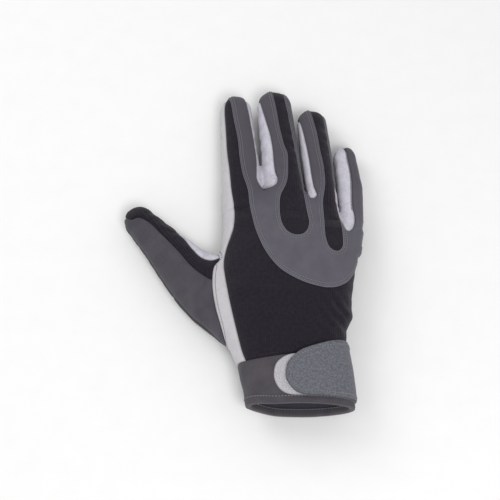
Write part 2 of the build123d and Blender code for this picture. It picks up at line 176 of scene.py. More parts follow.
# neighbouring fingers that nearly touch, and how far along the second their gap starts
GAPS = [(MIDDLE, RING, 6), (RING, LITTLE, 9)]
LEAST_GAP, GRID_GAP = 0.6, 2      # between two fingers, in the end and while on the grid


def form(p, gap=LEAST_GAP):
    """The whole glove's outside."""
    f = trunk_field(p)
    for stall in STALLS:
        tight = 0.85 * smooth(stall.local(p)[0], stall.tight, stall.tight + 12)
        f = smooth_min(f, stall.field(p), stall.join * (1 - tight))
    for one, other, start in GAPS:
        depth = 8 * (1 - smooth(other.local(p)[0], start - 5, start + 5))
        f = np.maximum(f, gap / 2 - depth - np.abs(one.field(p) - other.field(p)) / 2)
    return f


def slope(p, h=0.05):
    """The form's gradient."""
    return np.stack([(form(p + d) - form(p - d)) / (2 * h) for d in h * np.eye(3)], 1)


def settle(p, times=1):
    """Moves points onto the surface."""
    for _ in range(times):
        g = slope(p)
        p = p - g * (form(p) / np.maximum((g * g).sum(1), 1e-6))[:, None]
    return p


def polygonise(field, low, high, step):
    """Surface nets: one vertex in each cell that the surface crosses, one quad per edge."""
    low, high = np.array(low, float), np.array(high, float)
    n = np.ceil((high - low) / step).astype(int) + 1
    axes = [low[k] + step * np.arange(n[k]) for k in range(3)]
    values = np.empty(n)
    ys, zs = np.meshgrid(axes[1], axes[2], indexing="ij")
    for i, x in enumerate(axes[0]):
        sheet = np.stack([np.full(ys.size, x), ys.ravel(), zs.ravel()], 1)
        values[i] = field(sheet).reshape(ys.shape)
    cells = n - 1
    total, count = np.zeros((cells.prod(), 3)), np.zeros(cells.prod())
    loops = []
    for axis in range(3):
        one, two = (axis + 1) % 3, (axis + 2) % 3
        first, second = np.delete(values, -1, axis), np.delete(values, 0, axis)
        crossed = (first < 0) != (second < 0)
        a, b = first[crossed], second[crossed]
        where = np.argwhere(crossed)
        point = where.astype(float)
        point[:, axis] += a / (a - b)
        ring = []
        for d1, d2 in ((0, 0), (-1, 0), (-1, -1), (0, -1)):
            cell = where.copy()
            cell[:, one] += d1
            cell[:, two] += d2
            ring.append(np.ravel_multi_index(tuple(np.clip(cell, 0, cells - 1).T), cells))
            np.add.at(total, ring[-1], point)
            np.add.at(count, ring[-1], 1)
        ring = np.stack(ring, 1)
        ring[a > 0] = ring[a > 0][:, ::-1]
        loops.append(ring)
    used, quads = np.unique(np.concatenate(loops), return_inverse=True)
    quads = quads.reshape(-1, 4)
    points = total[used] / count[used][:, None] * step + low
    return points, np.concatenate([quads[:, [0, 1, 2]], quads[:, [0, 2, 3]]])


def relax(p, t, times):
    """Evens out the triangles: each vertex moves towards its neighbours along the surface."""
    ends = sides_of(t)
    count = np.bincount(ends[:, 0], minlength=len(p))
    for _ in range(times):
        total = np.zeros_like(p)
        np.add.at(total, ends[:, 0], p[ends[:, 1]])
        p = settle(p + 0.6 * (total / count[:, None] - p))
    return settle(p, 2)


# --- cutting the form into panels ---

class Skin:
    """A mesh of points p and triangles t, each with the number of its panel and its part."""

    def __init__(self, points, triangles):
        self.p, self.t = points, triangles
        self.fixed = np.zeros(len(points), bool)
        self.panel = np.zeros(len(triangles), int)
        self.part = np.zeros(len(triangles), int)

    def cut(self, chosen, field):
        """Splits the chosen triangles where field changes sign. True for those below zero."""
        rows = np.nonzero(chosen)[0]
        t = self.t[rows]
        used = np.unique(t)
        value = np.zeros(len(self.p))
        value[used] = field(self.p[used])
        edges = np.unique(np.sort(sides_of(t), 1), axis=0)

        def crossings():
            a, b = value[edges[:, 0]], value[edges[:, 1]]
            crossed = a * b < 0
            return edges[crossed], a[crossed] / (a - b)[crossed]

        e, share = crossings()
        # vertices near the line slide onto it, unless an earlier seam holds them
        ends, others = np.concatenate([e, e[:, ::-1]]).T
        shift = np.concatenate([share, 1 - share])
        near = np.nonzero((shift < 0.3) & ~self.fixed[ends])[0]
        near = near[np.argsort(-shift[near])]
        moved, target = ends[near], others[near]
        place = self.p[moved] + (self.p[target] - self.p[moved]) * shift[near][:, None]
        self.p = self.p.copy()
        self.p[moved] = place
        value[moved] = 0
        self.fixed[moved] = True
        e, share = crossings()
        fresh = self.p[e[:, 0]] + (self.p[e[:, 1]] - self.p[e[:, 0]]) * share[:, None]
        start = len(self.p)
        self.p = np.concatenate([self.p, fresh])
        self.fixed = np.concatenate([self.fixed, np.ones(len(fresh), bool)])
        value = np.concatenate([value, np.zeros(len(fresh))])
        lookup = {(x, y): start + k for k, (x, y) in enumerate(e.tolist())}
        made, source = [], []
        sign = np.sign(value[t])
        split = (sign.max(1) > 0) & (sign.min(1) < 0)
        for row, (i, j, k) in zip(rows[split], t[split].tolist()):
            mids = [lookup.get((min(x, y), max(x, y))) for x, y in ((i, j), (j, k), (k, i))]
            count = sum(m is not None for m in mids)
            if count == 1:
                while mids[0] is None:
                    i, j, k, mids = j, k, i, mids[1:] + mids[:1]
                made += [(i, mids[0], k), (mids[0], j, k)]
            else:
                while mids[1] is not None:
                    i, j, k, mids = j, k, i, mids[1:] + mids[:1]
                made += [(i, mids[0], mids[2]), (mids[0], j, k), (mids[0], k, mids[2])]
            source += [row] * (len(made) - len(source))
        keep = np.ones(len(self.t), bool)
        keep[rows[split]] = False
        below = np.zeros(len(self.t), bool)
        below[rows[~split]] = value[t[~split]].sum(1) < 0
        made, source = np.array(made, int).reshape(-1, 3), np.array(source, int)
        self.t = np.concatenate([self.t[keep], made])
        self.panel = np.concatenate([self.panel[keep], self.panel[source]])
        self.part = np.concatenate([self.part[keep], self.part[source]])
        return np.concatenate([below[keep], value[made].sum(1) < 0])

    def take(self, name, field, source="rest"):
        """Gives the part of a panel that lies below zero of a field a name of its own."""
        number = PANELS.index(source)
        below = self.cut(self.panel == number, field)
        self.panel[below] = PANELS.index(name)


def spline(points, spacing=1.2):
    """A smooth closed line through points, as points about one spacing apart."""
    p = np.array(points, float)
    before, here, after, beyond = (np.roll(p, 1 - k, 0) for k in range(4))
    one, two, three = (np.maximum(np.linalg.norm(b - a, axis=1), 1e-6)[:, None] ** 0.5
                       for a, b in ((before, here), (here, after), (after, beyond)))
    steps = after - here
    outs = ((here - before) / one - (after - before) / (one + two) + steps / two) * two
    intos = (steps / two - (beyond - here) / (two + three) + (beyond - after) / three) * two
    made = []
    for start, step, out, into in zip(p, steps, outs, intos):
        count = max(1, int(np.linalg.norm(step) / spacing))
        t = (np.arange(count) / count)[:, None]
        made.append(start + out * t + (3 * step - 2 * out - into) * t ** 2
                    + (out + into - 2 * step) * t ** 3)
    return np.concatenate(made)


def inside(outline):
    """A field of top-view distance to a closed outline, below zero inside it."""
    line = spline(outline)
    a, b = line, np.roll(line, -1, 0)
    ab = b - a

    def field(p):
        result = np.empty(len(p))
        for k in range(0, len(p), 4000):
            q = p[k:k + 4000, None, :2]
            share = np.clip(((q - a) * ab).sum(2) / (ab * ab).sum(1), 0, 1)
            gap = np.linalg.norm(q - a - ab * share[..., None], axis=2).min(1)
            x, y = q[..., 0], q[..., 1]
            between = (a[:, 1] > y) != (b[:, 1] > y)
            rise = np.where(ab[:, 1] == 0, 1e-9, ab[:, 1])
            odd = (between & (x < a[:, 0] + (y - a[:, 1]) / rise * ab[:, 0])).sum(1) % 2 == 1
            result[k:k + 4000] = np.where(odd, -gap, gap)
        return result
    return field


PANELS = ["rest", "gone", "cuff", "palm", "patch", "thumb_palm", "thumb_leather", "thumb_knit",
          "web", "strip", "gusset_index", "gusset_ring", "gusset_little", "wall_middle",
          "wall_ring", "wall_little", "window_middle", "window_ring", "overlay", "knit"]

# outlines in the top view; those of the fingers start in the finger's own s, u points
STRIP = ([(-75, 120), (-57, 109.4), (-60.6, 103), (-61.8, 88), (-59.4, 71), (-56.9, 61.6),
          (-51.9, 45.4), (-48.3, 40), (-46, 24), (-37, 24), (-41.4, 40), (-46.4, 61),
          (-50.9, 82.6), (-54, 104.5), (-53, 114), (-49.3, 125), (-47.2, 132), (-46.4, 142),
          (-46.9, 150), (-48.7, 161)]
         + INDEX.xy((6, -8.9), (23, -9.8), (41, -9.6), (60, -9.2), (69, -7), (76, -5), (80, -14),
                    (60, -30), (0, -30)))
GUSSET_INDEX = (INDEX.xy((74, 5.6), (68, 7.4), (56, 9.4), (43, 10.6), (31, 11.6), (14, 12.4),
                         (3, 11.6))
                + [(-29.6, 171.5), (-27.4, 167.4), (-23.6, 164.6), (-19, 164.5), (-15.4, 167),
                   (-15, 170.5)]
                + MIDDLE.xy((5, -5.6), (12, -5.9), (24, -5.6), (37, -6.2), (50, -8.2), (62, -10.2),
                            (70, -11.6), (76, -14), (78, -22)))
GUSSET_RING = (MIDDLE.xy((70, 13.9), (40, 14.4), (12, 14.8), (2, 14.2))
               + [(7, 161), (8.6, 156.6), (11.2, 155.4), (13.4, 157.4)]
               + RING.xy((2, -6.2), (11, -6.6), (28, -6.8), (45, -7.8), (56, -9), (64, -10.8),
                         (69, -11.2)))
GUSSET_LITTLE = (RING.xy((60, 14.5), (30, 12.2), (8, 11.4))
                 + [(27.4, 156), (29.2, 146), (32, 136), (34.4, 129.6), (36.6, 128.8), (39, 131.6),
                    (40.8, 137), (41, 142.5)]
                 + LITTLE.xy((8, 1.2), (15, 1.3), (26, 2.2), (36, 2.6), (50, 1.4), (58, 0.6),
                             (63, -2), (66, -10)))
OVERLAY = (INDEX.xy((80, -7), (63, -3.8), (48, -2.5), (30, -0.7), (13, -0.3), (0, 1), (-12, 3.6))
           + [(-35.2, 149), (-33.4, 139.5), (-31, 129), (-25.1, 113.4), (-16, 99.5), (-4.5, 90.8),
              (7.5, 85.6), (19, 83.6), (27.6, 85.6), (34.3, 90.8), (38.6, 98.6), (43, 111),
              (52, 119), (66, 140), (66, 260), (0, 270), (-40, 262)])
WINDOW_MIDDLE = (MIDDLE.xy((92, -3), (74, -0.8), (60, 0.5), (40, 1.6), (27, 3.2), (20, 4.7),
                           (10, 4.2), (0, 2.9), (-6, 0.9))
                 + [(-12.7, 156.5), (-13.6, 144), (-12.4, 134), (-9.3, 127.6), (-5.6, 124.6),
                    (-1.4, 123.4), (2.8, 124.2), (5.8, 127.6), (7.3, 133), (5.6, 146)]
                 + MIDDLE.xy((-4, 13), (15, 11.6), (40, 9.9), (62, 8.3), (76, 6.6), (92, 5)))
WINDOW_RING = (RING.xy((84, -2.4), (63, 0.1), (48, 1.8), (31, 2.5), (14, 3.2), (1, 2.2))
               + [(17.8, 152), (18.1, 138), (18.8, 122), (20.8, 115), (23.8, 112.2), (27.4, 111.9),
                  (30.3, 114.6), (31.3, 120), (30.2, 136)]
               + RING.xy((-10, 8.9), (15, 9.5), (36, 9.3), (56, 8.9), (84, 7.6)))
THUMB_SIDE = ([(-140, 20), (-46, 24)]
              + STRIP[7:0:-1]
              + [(-60, 118), (-62, 150), (-140, 160)])
WEB = [(-84, 146), (-66, 128), (-54, 114), (-58.6, 109.6), (-63.5, 108.4), (-69.3, 110.2),
       (-76.6, 118), (-81.5, 125.5), (-88, 134)]
THUMB_KNIT = [(-130, 150), (-121.8, 141.6), (-116.6, 143), (-109, 139.4), (-97.8, 127.8),
              (-86.6, 115.5), (-76.5, 103), (-69, 96.6), (-61, 92), (-50, 96), (-52, 125),
              (-90, 160)]
PATCH = [(-34, 56), (-20, 53.5), (14, 54.5), (24, 58), (29, 84), (31, 108), (24, 116.5), (0, 121),
         (-24, 123), (-31, 117), (-36, 88)]


# height of the palm's seam: along the edge of the hand, on the little-finger side of each
# finger in the frame of its walls, and on its thumb side
HAND_SEAM, FAR_SEAM = -8.5, -4.2
LOW_SEAM = {"index": -3.6, "middle": -4.6, "ring": -7.2, "little": -8.6}


def palm_side(p):
    """Below zero under the seam that runs round the edge of the palm and the fingers."""
    f = p[:, 2] - HAND_SEAM
    for stall in FINGERS:
        s, u, v = stall.local(p)
        wide = stall.section(s)[1]
        w = smooth(s, -4, 8) * smooth(-np.abs(u), -wide - 3, -wide - 1)
        low = np.where(u < -0.55 * wide, LOW_SEAM[stall.name], FAR_SEAM)
        low = low * (1 - smooth(s, stall.length * 0.8, stall.length - 1))
        f = f * (1 - w) + (stall.rolled(u, v) - low) * w
    s, u, v = THUMB.local(p)
    w = smooth(s, -62, -30) * smooth(-u, 2, 12)
    w = np.maximum(w, smooth(s, -20, 6))
    low = -4 + 3 * smooth(s, 50, 72) + 6.6 * smooth(-u, 6, 14)
    return f * (1 - w) + (v - low) * w


def thumb_half(p):
    """Below zero round the thumb, past the joint at its root."""
    s, u, _ = THUMB.local(p)
    return np.maximum(2 - s, np.abs(u) - 27)


def right_wall(stall, high, first):
    """The wall on the little-finger side, which hides under the finger's own edge."""
    def field(p):
        s, u, v = stall.local(p)
        top = high - (high + 5) * smooth(s, stall.length * 0.4, stall.length * 0.8)
        beyond = np.abs(u - 9) - 9
        return np.maximum(np.maximum(stall.rolled(u, v) - top, beyond), first - s)
    return field


def owner(p):
    """The number in STALLS of the finger that each point is nearest to."""
    return np.argmin([stall.field(p) for stall in STALLS], 0)


CUFF_TOP, CUFF_SLANT = 36.4, math.radians(7)        # the cuff's upper seam
ROOM = (-134, -12, -24.5), (58, 252, 24)            # two corners of the grid's box


def make_skin():
    points, triangles = polygonise(lambda p: form(p, GRID_GAP), *ROOM, STEP)
    skin = Skin(relax(points, triangles, 6), triangles)
    skin.take("gone", mouth)
    skin.take("cuff", lambda p: p[:, 1] - CUFF_TOP - p[:, 0] * math.tan(CUFF_SLANT))
    skin.take("palm", palm_side)
    skin.take("thumb_palm", thumb_half, "palm")
    skin.take("patch", inside(PATCH), "palm")
    skin.take("thumb_leather", inside(THUMB_SIDE))
    skin.take("web", inside(WEB), "thumb_leather")
    skin.take("thumb_knit", inside(THUMB_KNIT), "thumb_leather")
    for name, outline in (("strip", STRIP), ("gusset_index", GUSSET_INDEX),
                          ("gusset_ring", GUSSET_RING), ("gusset_little", GUSSET_LITTLE)):
        skin.take(name, inside(outline))
    for stall, high, first in ((MIDDLE, 3.5, 1), (RING, 4.2, 2), (LITTLE, 3, 7)):
        skin.take("wall_" + stall.name, right_wall(stall, high, first))
    for name, outline in (("window_middle", WINDOW_MIDDLE), ("window_ring", WINDOW_RING),
                          ("overlay", OVERLAY)):
        skin.take(name, inside(outline))
    skin.take("knit", lambda p: -np.ones(len(p)))
    for number, stall in enumerate(STALLS):
        for place, cut_at in enumerate((stall.bends[0][0], stall.split)):
            middle = skin.p[skin.t].mean(1)
            own = (owner(middle) == number) & (stall.local(middle)[0] > -12)
            past = skin.cut(own, lambda p, at=cut_at, who=stall: at - who.local(p)[0])
            skin.part[past] = 2 * number + place + 1
    skin.p = settle(skin.p)
    return skin


def mouth_edge(x, z):
    """Height y of the cuff's edge, which dips a little under the palm."""
    return 0.06 * z + 2.2 * smooth(-x, 15, 37)


def mouth(p):
    """Below zero outside the wrist opening."""
    return p[:, 1] - mouth_edge(p[:, 0], p[:, 2])


# --- shells ---

# panels sewn on top of others, and thicknesses other than the usual one
OVER = {"overlay": ("knit", "window_middle", "window_ring"), "patch": ("palm",)}
THICK = {"overlay": 1.5, "patch": 1.4, "cuff": 1.6}
CLOTH = 1.2
FAR = 14.0              # distances to a seam or an edge stop here
LOWEST = -22.3          # z that the patch under the palm stays above
RAISE = 0.8             # how far a panel that is sewn on top stands out of the one below
SEAM_DIP, PUFF = 0.95, 0.35         # how far the cloth dips at a seam and stands up beside it


def ripple(p, wavelength, seed, count=7):
    """A smooth random height between about -1 and 1."""
    draw = np.random.default_rng(seed)
    total = np.zeros(len(p))
    for _ in range(count):
        way = unit(draw.normal(size=3))
        total += np.sin(p @ way * (2 * math.pi / (wavelength * draw.uniform(0.7, 1.4)))
                        + draw.uniform(0, 6.28))
    return total / math.sqrt(count) / 1.4


def borders(t):
    """Edges that only one of the triangles has, in their winding order."""
    e = sides_of(t)
    _, first, count = np.unique(np.sort(e, 1), axis=0, return_index=True, return_counts=True)
    return e[first[count == 1]]


def gap_to(p, edges, all_points):
    """Distance from each point to the nearest of some edges, at most FAR."""
    if len(edges) == 0:
        return np.full(len(p), FAR)
    a, b = all_points[edges[:, 0]], all_points[edges[:, 1]]
    places = np.concatenate([a + (b - a) * k / 4 for k in range(4)])
    tree = KDTree(len(places))
    for k, place in enumerate(places):
        tree.insert(place, k)
    tree.balance()
    return np.array([min(FAR, tree.find(q)[2]) for q in p])


def vertex_normals(p, t):
    n = np.zeros_like(p)
    face = np.cross(p[t[:, 1]] - p[t[:, 0]], p[t[:, 2]] - p[t[:, 0]])
    for k in range(3):
        np.add.at(n, t[:, k], face)
    return unit(n)


# s and depth of the slanting creases in the light side walls
CREASES = {"middle": ((-1, 0.6), (9, 0.8), (19, 0.6), (31, 0.4)),
           "ring": ((1, 0.6), (14, 0.5)), "little": ((8.5, 0.9), (27, 0.5))}


def folds(p, normal):
    """Heights of the soft wrinkles of a glove that has been in use, in millimetres."""
    x, y, z = p.T
    back = np.clip(normal[:, 2], 0, 1)
    h = 0.22 * ripple(p, 17, 3) + 0.10 * ripple(p, 7, 4)
    # diagonal folds low on the little-finger side
    near = bell(x - 27, 13) * bell(y - 64, 16)
    h += 0.5 * near * back * np.sin((x * 0.78 + y * 0.62) * 0.95 + 1.1 * ripple(p, 22, 5))
    h += 1.3 * bell(x - 35, 6) * bell(y - 66, 4.5) * np.clip(normal[:, 0] + 0.4, 0, 1)
    # shallow creases in the web of the thumb and across the palm
    lean = bell(x + 58, 11) * bell(y - 98, 18)
    h -= 0.5 * lean * np.clip(np.sin((x * 0.8 + y * 0.6) * 0.55), 0, 1)
    palm = np.clip(-normal[:, 2], 0, 1)
    for cx, cy, lean_x in ((-20, 100, 0.35), (-4, 88, 0.6)):
        line = (y - cy) - lean_x * (x - cx)
        h -= palm * bell(line, 2.2) * bell(x - cx, 34)
    for stall in STALLS:
        s, u, v = stall.local(p)
        _, wide, thick = stall.section(s)
        own = smooth(-np.abs(u) / wide, -1.35, -1.1) * smooth(s, -6, 2)
        own = own * smooth(-np.abs(v), -thick * 1.35, -thick * 1.1)
        for start, end in stall.bends:
            for shift, depth in ((-3.2, 0.35), (0.4, 0.55), (3.9, 0.3)):
                line = s - 0.5 * (start + end) - shift + 0.4 * np.sin(u * 0.35 + shift)
                h -= own * depth * bell(line, 0.9) * (0.35 + 0.9 * palm)
        side = own * np.clip(np.abs(u) / wide - 0.35, 0, 1)
        wave = np.sin(s * 0.55 + u * 0.30 + 1.8 * ripple(p, 15, 8))
        held = smooth(s, 8, 26) * smooth(-s, -stall.length, 16 - stall.length)
        h += 0.7 * side * held * (wave - 0.4 * wave ** 2 - 0.6)
        for at, depth in CREASES.get(stall.name, ()):
            line = s - at + 0.45 * u
            h -= 1.5 * depth * own * bell(line, 1.5) * smooth(-u, -4, -1)
        sideways = own * (normal @ stall.across) ** 2
        h = h * (1 - 0.6 * sideways) - 0.3 * sideways
        # the seams gather into a small nub at the fingertip
        h += 0.7 * bell(s - stall.length, 2.6) * bell(u + 1.5, 2.2)
    return h


class Piece:
    """A panel as a shell: triangles t and their part, outer points p, their normals n, inner
    points, rim edges, cloth coordinates across and along, distances to the seam and the edge."""


def cloth_lines(p, normal, on_thumb):
    """Across and along the cloth, in millimetres, running on from the hand over each finger."""
    across = p[:, 0] - p[:, 2] * normal[:, 0]
    along = p[:, 1] + 0.4 * p[:, 2] * normal[:, 1]
    s, u, v = THUMB.local(p)
    w = smooth(s, -12, -2) * on_thumb
    turned = u - v * (normal @ THUMB.across) + THUMB.root[0]
    return across * (1 - w) + turned * w, along * (1 - w) + (s + THUMB.root[1]) * w


def make_piece(skin, name):
    number = PANELS.index(name)
    rows = np.nonzero(skin.panel == number)[0]
    used, local = np.unique(skin.t[rows], return_inverse=True)
    piece = Piece()
    piece.t, piece.part = local.reshape(-1, 3), skin.part[rows]
    piece.rim = borders(piece.t)
    base = skin.p[used]
    normal = unit(slope(base))
    edges = used[piece.rim]
    other = {}
    beyond = skin.panel != number
    beyond &= np.isin(skin.t, edges).any(1)
    for tri, panel in zip(skin.t[beyond].tolist(), skin.panel[beyond]):
        for k in range(3):
            other[(tri[k - 2], tri[k])] = PANELS[panel]
    beside = np.array([other.get(tuple(pair), "none") for pair in edges.tolist()])
    under = [top for top, below in OVER.items() if name in below]
    raised = np.isin(beside, OVER.get(name, ()))
    tucked = np.isin(beside, under)
    turned = ~(raised | tucked | (beside == "gone"))
    d_raised, d_tucked, d_turned = (gap_to(base, edges[own], skin.p)
                                    for own in (raised, tucked, turned))
    h = folds(base, normal) * (1 - np.exp(-d_turned / 2.5))
    h -= SEAM_DIP * np.exp(-d_turned / 0.95)
    h += PUFF * (1 - np.exp(-d_turned / 3.5))
    if name in OVER:
        h += RAISE * (1 - np.exp(-d_turned / 1.1)) - 0.34 * np.exp(-d_raised / 0.55)
        h -= 0.16 * bell(d_raised - 1.6, 0.8)
    h = np.where(h > 0, h * (1 - 0.75 * normal[:, 0] ** 2 * (base[:, 1] > 120)), h)
    if name == "patch":
        h = np.minimum(h, (base[:, 2] - LOWEST) / np.maximum(-normal[:, 2], 0.3))
    piece.p = base + normal * h[:, None]
    piece.n = vertex_normals(piece.p, piece.t)
    piece.inner = piece.p - normal * THICK.get(name, CLOTH)
    piece.across, piece.along = cloth_lines(base, normal, name == "web" or "thumb" in name)
    piece.seam = np.minimum(d_tucked, d_turned)
    piece.edge, piece.base, piece.edges, piece.beside = d_raised, base, edges, beside
    return piece


# --- writing meshes ---

def new_object(name, points, faces, material, normals=None, cloth=None, seam=0.0, edge=None):
    """A mesh whose points carry what the materials need: cloth coordinates and distances."""
    mesh = bpy.data.meshes.new(name)
    mesh.from_pydata((np.asarray(points) * MM).tolist(), [], faces)
    mesh.shade_smooth()
    if cloth is not None:
        layer = mesh.attributes.new("cloth", "FLOAT_VECTOR", "POINT")
        flat = np.zeros((len(points), 3), np.float32)
        flat[:, :2], flat[:, 2] = cloth, seam
        layer.data.foreach_set("vector", flat.ravel())
    if edge is not None:
        layer = mesh.attributes.new("edge", "FLOAT", "POINT")
        layer.data.foreach_set("value", np.asarray(edge, np.float32))
    if normals is not None:
        mesh.normals_split_custom_set([tuple(n) for n in normals])
    obj = bpy.data.objects.new(name, mesh)
    bpy.context.scene.collection.objects.link(obj)
    mesh.materials.append(material)
    return obj


def attach(obj, part):
    """Rides the hand, or, for a part of a finger, has its placement baked into its mesh."""
    if part:
        number, far = divmod(part - 1, 2)
        start, end = (tuple(STALLS[number].at(s) * MM) for s in STALLS[number].bends[far])
        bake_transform(obj)
        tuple(start)
        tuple(end)
    else:
        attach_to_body(obj, "hand")


def part_of(p):
    """Which part of the glove a point rides on."""
    part, nearest = np.zeros(len(p), int), owner(p)
    for number, stall in enumerate(STALLS):
        own = nearest == number
        s = stall.local(p)[0]
        part[own & (s > stall.bends[0][0])] = 2 * number + 1
        part[own & (s > stall.split)] = 2 * number + 2
    return part


def part_name(part):
    stall, far = divmod(part - 1, 2)
    return STALLS[stall].name + ("_base", "_tip")[far] if part else "hand"


def write_part(piece, rows, name, look):
    """A closed shell from some triangles of a piece."""
    t = piece.t[rows]
    used = np.unique(t)
    index = np.full(len(piece.p), -1)
    index[used] = np.arange(len(used))
    n = len(used)
    t = index[t]
    own = {tuple(pair) for pair in borders(t).tolist()}
    walls = [(b, a, a + n, b + n) for a, b in index[piece.rim].tolist() if (a, b) in own]
    sides = np.concatenate([t, t[:, ::-1] + n])
    points = np.concatenate([piece.p[used], piece.inner[used]])
    both = np.concatenate([piece.n[used], -piece.n[used]])
    normals = [both[v] for face in sides.tolist() for v in face]
    for b, a, a2, _ in walls:
        normals += [unit(np.cross(points[a] - points[b], points[a2] - points[b]))] * 4
    cloth = np.stack([piece.across, piece.along], 1)
    twice = np.concatenate([used, used])
    return new_object(name, points, sides.tolist() + walls, look, normals, cloth[twice],
                      piece.seam[twice], piece.edge[twice])


def iso_lines(piece, value, level):
    """Lines on a panel along which a value per vertex is level, with their normals."""
    t, f = piece.t, value - level
    f = np.where(np.abs(f) < 1e-6, 1e-6, f)
    ends = {}
    for i, j, k in t[(f[t].min(1) < 0) & (f[t].max(1) > 0)].tolist():
        keys = [(min(a, b), max(a, b)) for a, b in ((i, j), (j, k), (k, i)) if f[a] * f[b] < 0]
        if len(keys) == 2:
            ends.setdefault(keys[0], []).append(keys[1])
            ends.setdefault(keys[1], []).append(keys[0])
    lines, seen = [], set()
    for start in [k for k, v in ends.items() if len(v) == 1] + list(ends):
        if start in seen:
            continue
        line, onward = [], [start]
        while onward:
            line.append(onward[0])
            seen.add(onward[0])
            onward = [k for k in ends[onward[0]] if k not in seen]
        closed = len(line) > 3 and start in ends[line[-1]]
        a, b = np.array(line).T
        share = (f[a] / (f[a] - f[b]))[:, None]
        p = piece.p[a] + (piece.p[b] - piece.p[a]) * share
        n = unit(piece.n[a] + (piece.n[b] - piece.n[a]) * share)
        if closed:
            p, n = np.concatenate([p, p[:1]]), np.concatenate([n, n[:1]])
        if len(p) > 4:
            lines.append((p, n))
    return lines


SLANT = np.array([[0.8, -0.6], [0.6, 0.8]])     # turns the twist of the threads


def run_length(p):
    """How far along a line each of its points is."""
    return np.concatenate([[0], np.cumsum(np.linalg.norm(np.diff(p, axis=0), axis=1))])


def along_line(p, n, pitch):
    """Points, directions and normals of stitches a pitch apart along a line."""
    soft = p.copy()
    for _ in range(3):
        soft[1:-1] = (soft[:-2] + 2 * soft[1:-1] + soft[2:]) / 4
    length = run_length(soft)
    count = int(length[-1] / pitch)
    if count < 3:
        return None
    mid = (np.arange(count) + 0.5) * length[-1] / count

    def pick(values, at):
        return np.stack([np.interp(at, length, values[:, k]) for k in range(3)], 1)

    ahead = unit(pick(soft, np.minimum(mid + 0.6, length[-1])) - pick(soft, mid - 0.6))
    return pick(soft, mid), ahead, unit(pick(n, mid))


# rings of a stitch: place along its length, share of the thread's width, and height
STITCH = ((-0.5, 0.35, -0.16), (-0.28, 0.95, 0.12), (0.28, 0.95, 0.12), (0.5, 0.35, -0.16))


def stitch_mesh(places, length=1.3, thread=0.28, sides=6):
    """Short arched threads, each dipping into the cloth at both ends."""
    p, ahead, normal = places
    side = unit(np.cross(ahead, normal))
    points, faces = [], []
    for along, fat, rise in STITCH:
        for k in range(sides):
            turn = 2 * math.pi * k / sides
            points.append(p + ahead * along * length
                          + side * (thread * fat * math.cos(turn))
                          + normal * (thread * fat * 0.8 * math.sin(turn) + rise))
    points = np.stack(points, 1)
    per = len(STITCH) * sides
    for r in range(0, per - sides, sides):
        for k in range(sides):
            a, b = r + k, r + (k + 1) % sides
            faces.append((a, b, b + sides, a + sides))
    faces += [range(sides)[::-1], range(per - sides, per)]
    made = [[v + per * k for v in face] for k in range(len(p)) for face in faces]
    return points.reshape(-1, 3), made


def sew(title, lines, look, slot, pitch=1.95, only=None, hold=None, **shape):
    """Rows of stitches along lines, split where the glove bends or held as hold says."""
    sets = [s for s in (along_line(p, n, pitch) for p, n in lines) if s is not None]
    places = [np.concatenate(values) for values in zip(*sets)]
    if only is not None:
        keep = only(places[0])
        places = [values[keep] for values in places]
    part = part_of(places[0]) if hold is None else np.zeros(len(places[0]), int)
    for number in np.unique(part):
        points, faces = stitch_mesh([values[part == number] for values in places], **shape)
        name = title if hold else f"{title}_{part_name(number)}"
        obj = new_object(name, points, faces, look, cloth=points[:, :2] @ SLANT)
        if hold is None:
            attach(obj, number)
        else:
            hold(obj)


# --- materials ---

class Nodes:
    """Short ways to make the nodes that the materials share."""

    def __init__(self, tree):
        self.tree = tree

    def node(self, kind, inputs=None, **settings):
        """A node with some settings, and values or links for some inputs."""
        made = self.tree.nodes.new(kind)
        for key, value in settings.items():
            setattr(made, key, value)
        for key, value in (inputs or {}).items():
            if isinstance(value, bpy.types.NodeSocket):
                self.tree.links.new(value, made.inputs[key])
            else:
                made.inputs[key].default_value = value
        return made

    def math(self, operation, a, b=0):
        return self.node("ShaderNodeMath", {0: a, 1: b}, operation=operation).outputs[0]

    def total(self, a, share_a, b, share_b):
        return self.math("ADD", self.math("MULTIPLY", a, share_a),
                         self.math("MULTIPLY", b, share_b))

    def ramp(self, value, low, high, to_low=0, to_high=1):
        return self.node("ShaderNodeMapRange", {0: value, 1: low, 2: high, 3: to_low, 4: to_high},
                         interpolation_type="SMOOTHSTEP").outputs[0]

    def noise(self, size, detail=3, stretch=1):
        """Noise whose grains are stretched across the cloth."""
        made = self.node("ShaderNodeTexNoise", {"Scale": 1 / size, "Detail": detail})
        scaled = self.node("ShaderNodeVectorMath", {0: self.flat, 1: (1, stretch, 1)},
                           operation="MULTIPLY")
        self.tree.links.new(scaled.outputs[0], made.inputs["Vector"])
        return made.outputs[0]

    def cells(self, size, feature="F1"):
        return self.node("ShaderNodeTexVoronoi", {"Vector": self.flat, "Scale": 1 / size},
                         feature=feature).outputs["Distance"]

    def waves(self, value, pitch):
        return self.math("SINE", self.math("MULTIPLY", value, 2 * math.pi / pitch))


